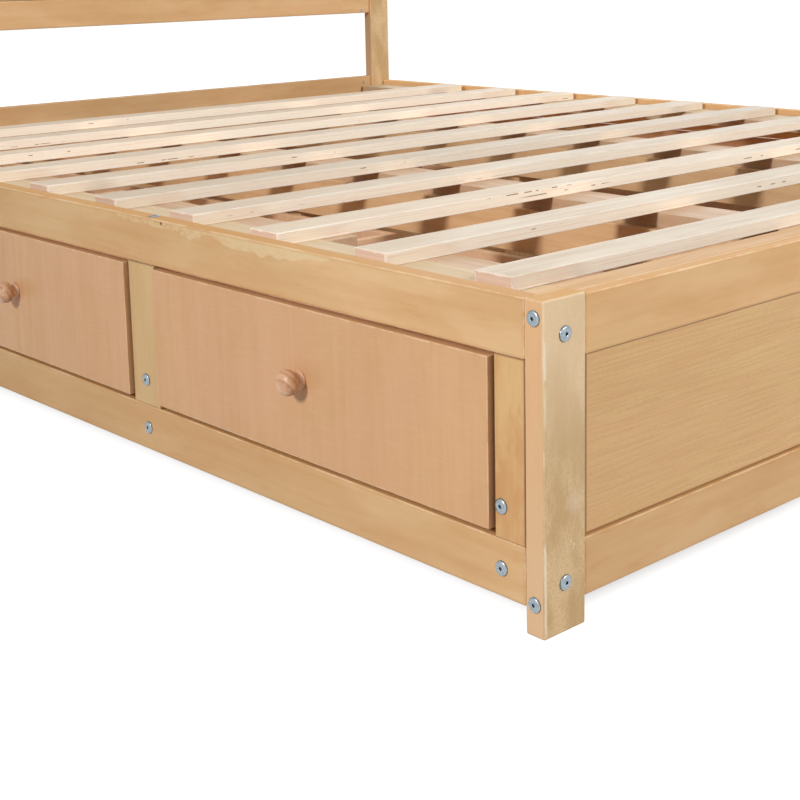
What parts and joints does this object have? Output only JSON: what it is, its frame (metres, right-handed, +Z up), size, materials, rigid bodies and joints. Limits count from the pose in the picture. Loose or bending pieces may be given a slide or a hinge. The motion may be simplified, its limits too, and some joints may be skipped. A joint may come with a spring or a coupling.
{
  "type": "platform bed with storage drawers",
  "caption": "Queen-size wooden platform bed with a slatted deck, a panelled foot end and headboard, and pull-out storage drawers with round knobs along both long sides.",
  "frame": {"origin": "on the floor, under the middle of the bed", "axes": "+Z up, +Y from the foot end towards the headboard, +X to the right for someone who stands at the foot end and looks at the headboard"},
  "size_m": [1.668, 2.065, 0.9],
  "materials": {
    "post_pine": "satin stain over knotty pine, worn pale at the edges",
    "rail_pine": "satin golden stain, lengthwise grain",
    "stile_pine": "satin stain, upright grain with darker streaks",
    "panel_pine": "satin stain, close level grain",
    "ledge_pine": "bare light pine",
    "inner_pine": "bare golden pine",
    "slat_wood": "bare pale laminated wood",
    "laminate": "satin pinkish wood veneer, faint upright grain",
    "drawer_wood": "plain veneered board",
    "knob_wood": "turned wood, satin varnish",
    "zinc": "zinc plated"
  },
  "bodies": {
    "frame": {"foot_post_left": "post_pine", "foot_post_right": "post_pine", "head_post_left": "post_pine", "head_post_right": "post_pine", "foot_top_rail": "rail_pine", "foot_bottom_rail": "rail_pine", "head_platform_rail": "rail_pine", "head_bottom_rail": "rail_pine", "headboard_lower_rail": "rail_pine", "headboard_top_rail": "rail_pine", "headboard_stiles": "stile_pine", "foot_panel": "panel_pine", "headboard_panels": "panel_pine", "foot_cleat": "rail_pine", "left_top_rail": "rail_pine", "left_bottom_rail": "rail_pine", "left_stiles": "stile_pine", "left_ledge": "ledge_pine", "left_packers": "ledge_pine", "left_dividers": "inner_pine", "left_runners": "inner_pine", "left_beam": "ledge_pine", "left_beam_rails": "inner_pine", "right_top_rail": "rail_pine", "right_bottom_rail": "rail_pine", "right_stiles": "stile_pine", "right_ledge": "ledge_pine", "right_packers": "ledge_pine", "right_dividers": "inner_pine", "right_runners": "inner_pine", "right_beam": "ledge_pine", "right_beam_rails": "inner_pine", "beam_legs": "inner_pine", "slats": "slat_wood", "bolts": "zinc", "barrel_nuts": "zinc"},
    "left_drawer_1": {"left_drawer_1_front": "laminate", "left_drawer_1_walls": "drawer_wood", "left_drawer_1_bottom": "drawer_wood", "left_drawer_1_knob": "knob_wood"},
    "left_drawer_2": {"left_drawer_2_front": "laminate", "left_drawer_2_walls": "drawer_wood", "left_drawer_2_bottom": "drawer_wood", "left_drawer_2_knob": "knob_wood"},
    "left_drawer_3": {"left_drawer_3_front": "laminate", "left_drawer_3_walls": "drawer_wood", "left_drawer_3_bottom": "drawer_wood", "left_drawer_3_knob": "knob_wood"},
    "right_drawer_1": {"right_drawer_1_front": "laminate", "right_drawer_1_walls": "drawer_wood", "right_drawer_1_bottom": "drawer_wood", "right_drawer_1_knob": "knob_wood"},
    "right_drawer_2": {"right_drawer_2_front": "laminate", "right_drawer_2_walls": "drawer_wood", "right_drawer_2_bottom": "drawer_wood", "right_drawer_2_knob": "knob_wood"},
    "right_drawer_3": {"right_drawer_3_front": "laminate", "right_drawer_3_walls": "drawer_wood", "right_drawer_3_bottom": "drawer_wood", "right_drawer_3_knob": "knob_wood"}
  },
  "joints": [
    {"name": "left_drawer_1_slide", "type": "slide", "parent": "frame", "child": "left_drawer_1", "axis": [-1, 0, 0], "range_m": [0, 0.4]},
    {"name": "left_drawer_2_slide", "type": "slide", "parent": "frame", "child": "left_drawer_2", "axis": [-1, 0, 0], "range_m": [0, 0.4]},
    {"name": "left_drawer_3_slide", "type": "slide", "parent": "frame", "child": "left_drawer_3", "axis": [-1, 0, 0], "range_m": [0, 0.4]},
    {"name": "right_drawer_1_slide", "type": "slide", "parent": "frame", "child": "right_drawer_1", "axis": [1, 0, 0], "range_m": [0, 0.4]},
    {"name": "right_drawer_2_slide", "type": "slide", "parent": "frame", "child": "right_drawer_2", "axis": [1, 0, 0], "range_m": [0, 0.4]},
    {"name": "right_drawer_3_slide", "type": "slide", "parent": "frame", "child": "right_drawer_3", "axis": [1, 0, 0], "range_m": [0, 0.4]}
  ]
}
